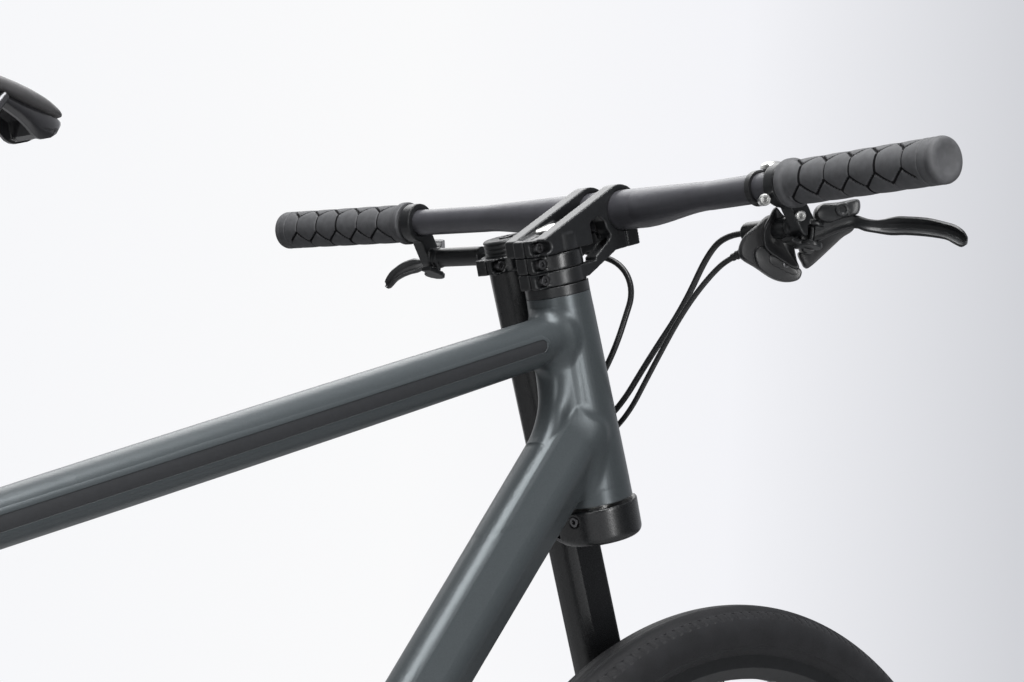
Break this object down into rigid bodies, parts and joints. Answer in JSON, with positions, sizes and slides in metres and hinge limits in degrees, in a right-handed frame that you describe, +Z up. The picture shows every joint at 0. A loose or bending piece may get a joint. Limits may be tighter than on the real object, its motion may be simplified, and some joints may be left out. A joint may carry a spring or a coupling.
{
  "type": "hybrid bicycle",
  "caption": "Flat-bar hybrid bicycle with a single left fork leg, toothed belt drive, hydraulic disc brakes and trigger shifter.",
  "frame": {"origin": "on the ground midway between the axles, in the frame's midplane", "axes": "+X forward, +Y to the rider's left, +Z up; the front end rests turned 8.65 degrees to the right as pictured"},
  "size_m": [1.7823, 0.728, 1.0191],
  "materials": {
    "frame_paint": "satin graphite",
    "fork_black": "satin black",
    "black_alloy": "black anodised",
    "raw_alloy": "satin",
    "steel": "brushed",
    "bright": "polished",
    "tyre": "matt",
    "rubber": "matt",
    "plastic": "matt",
    "gloss": "gloss",
    "cover": "matt synthetic"
  },
  "bodies": {
    "frame": {"head_tube": "frame_paint", "headset_bearings": "steel", "top_tube": "frame_paint", "top_tube_bumper": "rubber", "down_tube": "frame_paint", "seat_tube": "frame_paint", "bottom_bracket_shell": "frame_paint", "bottom_bracket_cups": "black_alloy", "chainstays": "frame_paint", "seatstays": "frame_paint", "seat_clamp": "black_alloy", "rear_axle": "steel", "drive_belt": "rubber", "rear_caliper": "black_alloy", "rear_brake_hose": "plastic", "shift_cable": "plastic"},
    "fork": {"steerer": "fork_black", "headset_spacer": "black_alloy", "lower_crown": "fork_black", "upper_crown": "fork_black", "fork_leg": "fork_black", "fork_cap": "black_alloy", "front_caliper": "black_alloy", "stem": "fork_black", "stem_cap": "bright", "handlebar": "black_alloy", "grips": "rubber", "brake_body_right": "black_alloy", "brake_body_left": "black_alloy", "shifter_body": "plastic", "bell": "bright", "cockpit_bolts": "steel", "front_brake_hose": "plastic"},
    "front_wheel": {"front_tyre": "tyre", "front_rim": "black_alloy", "front_spokes": "steel", "front_hub": "black_alloy", "front_rotor": "steel"},
    "rear_wheel": {"rear_tyre": "tyre", "rear_rim": "black_alloy", "rear_spokes": "steel", "rear_hub": "black_alloy", "rear_rotor": "steel"},
    "rear_drive": {"rear_sprocket": "steel"},
    "crank": {"crank_right": "black_alloy", "crank_left": "black_alloy", "front_sprocket": "black_alloy", "pedal_axles": "steel"},
    "right_pedal": {"pedal_right": "plastic"},
    "left_pedal": {"pedal_left": "plastic"},
    "seat": {"seatpost": "black_alloy", "saddle_rails": "steel", "saddle_base": "gloss", "saddle_cover": "cover"},
    "right_brake": {"brake_lever_right": "black_alloy"},
    "left_brake": {"brake_lever_left": "black_alloy"},
    "thumb_lever": {"shift_lever": "plastic"},
    "finger_lever": {"release_lever": "plastic"},
    "striker": {"bell_striker": "plastic"}
  },
  "joints": [
    {"name": "steering", "type": "hinge", "parent": "frame", "child": "fork", "pos_m": [0.35953, 0, 0.75155], "axis": [-0.3322, 0, 0.9432], "range_deg": [-40, 50], "deforming": ["rear_brake_hose", "shift_cable"]},
    {"name": "front_wheel_spin", "type": "hinge", "parent": "fork", "child": "front_wheel", "pos_m": [0.5545, -0.00707, 0.33782], "axis": [0.1419, 0.9886, 0.05], "continuous": true},
    {"name": "rear_wheel_spin", "type": "hinge", "parent": "frame", "child": "rear_wheel", "pos_m": [-0.555, 0, 0.338], "axis": [0, 1, 0], "continuous": true},
    {"name": "crank_spin", "type": "hinge", "parent": "frame", "child": "crank", "pos_m": [-0.11649, 0, 0.274], "axis": [0, 1, 0], "continuous": true, "deforming": ["drive_belt"]},
    {"name": "rear_sprocket_spin", "type": "hinge", "parent": "frame", "child": "rear_drive", "pos_m": [-0.555, 0, 0.338], "axis": [0, 1, 0], "continuous": true},
    {"name": "right_pedal_spin", "type": "hinge", "parent": "crank", "child": "right_pedal", "pos_m": [0.05352, -0.129, 0.274], "axis": [0, 1, 0], "continuous": true},
    {"name": "left_pedal_spin", "type": "hinge", "parent": "crank", "child": "left_pedal", "pos_m": [-0.28648, 0.129, 0.274], "axis": [0, 1, 0], "continuous": true},
    {"name": "seatpost_slide", "type": "slide", "parent": "frame", "child": "seat", "axis": [-0.3256, 0, 0.9455], "range_m": [-0.1, 0.04]},
    {"name": "right_brake_pull", "type": "hinge", "parent": "fork", "child": "right_brake", "pos_m": [0.32564, -0.21787, 0.93988], "axis": [-0.1231, 0.077, -0.9894], "range_deg": [0, 20], "stiffness_Nm_per_rad": 2},
    {"name": "left_brake_pull", "type": "hinge", "parent": "fork", "child": "left_brake", "pos_m": [0.38545, 0.19892, 0.96094], "axis": [0.1257, -0.0587, 0.9903], "range_deg": [0, 20], "stiffness_Nm_per_rad": 2},
    {"name": "thumb_push", "type": "hinge", "parent": "fork", "child": "thumb_lever", "pos_m": [0.33287, -0.19292, 0.9179], "axis": [-0.7171, -0.0991, -0.6899], "range_deg": [0, 28], "stiffness_Nm_per_rad": 0.6},
    {"name": "finger_pull", "type": "hinge", "parent": "fork", "child": "finger_lever", "pos_m": [0.33287, -0.19292, 0.9179], "axis": [-0.7171, -0.0991, -0.6899], "range_deg": [0, 12], "stiffness_Nm_per_rad": 0.6},
    {"name": "bell_strike", "type": "hinge", "parent": "fork", "child": "striker", "pos_m": [0.32477, -0.19125, 0.96833], "axis": [0.2573, 0.9654, 0.0431], "range_deg": [-8, 8], "stiffness_Nm_per_rad": 0.05}
  ],
  "couplings": [
    {"joint": "rear_sprocket_spin", "follows": "crank_spin", "ratio": 2.0833}
  ]
}
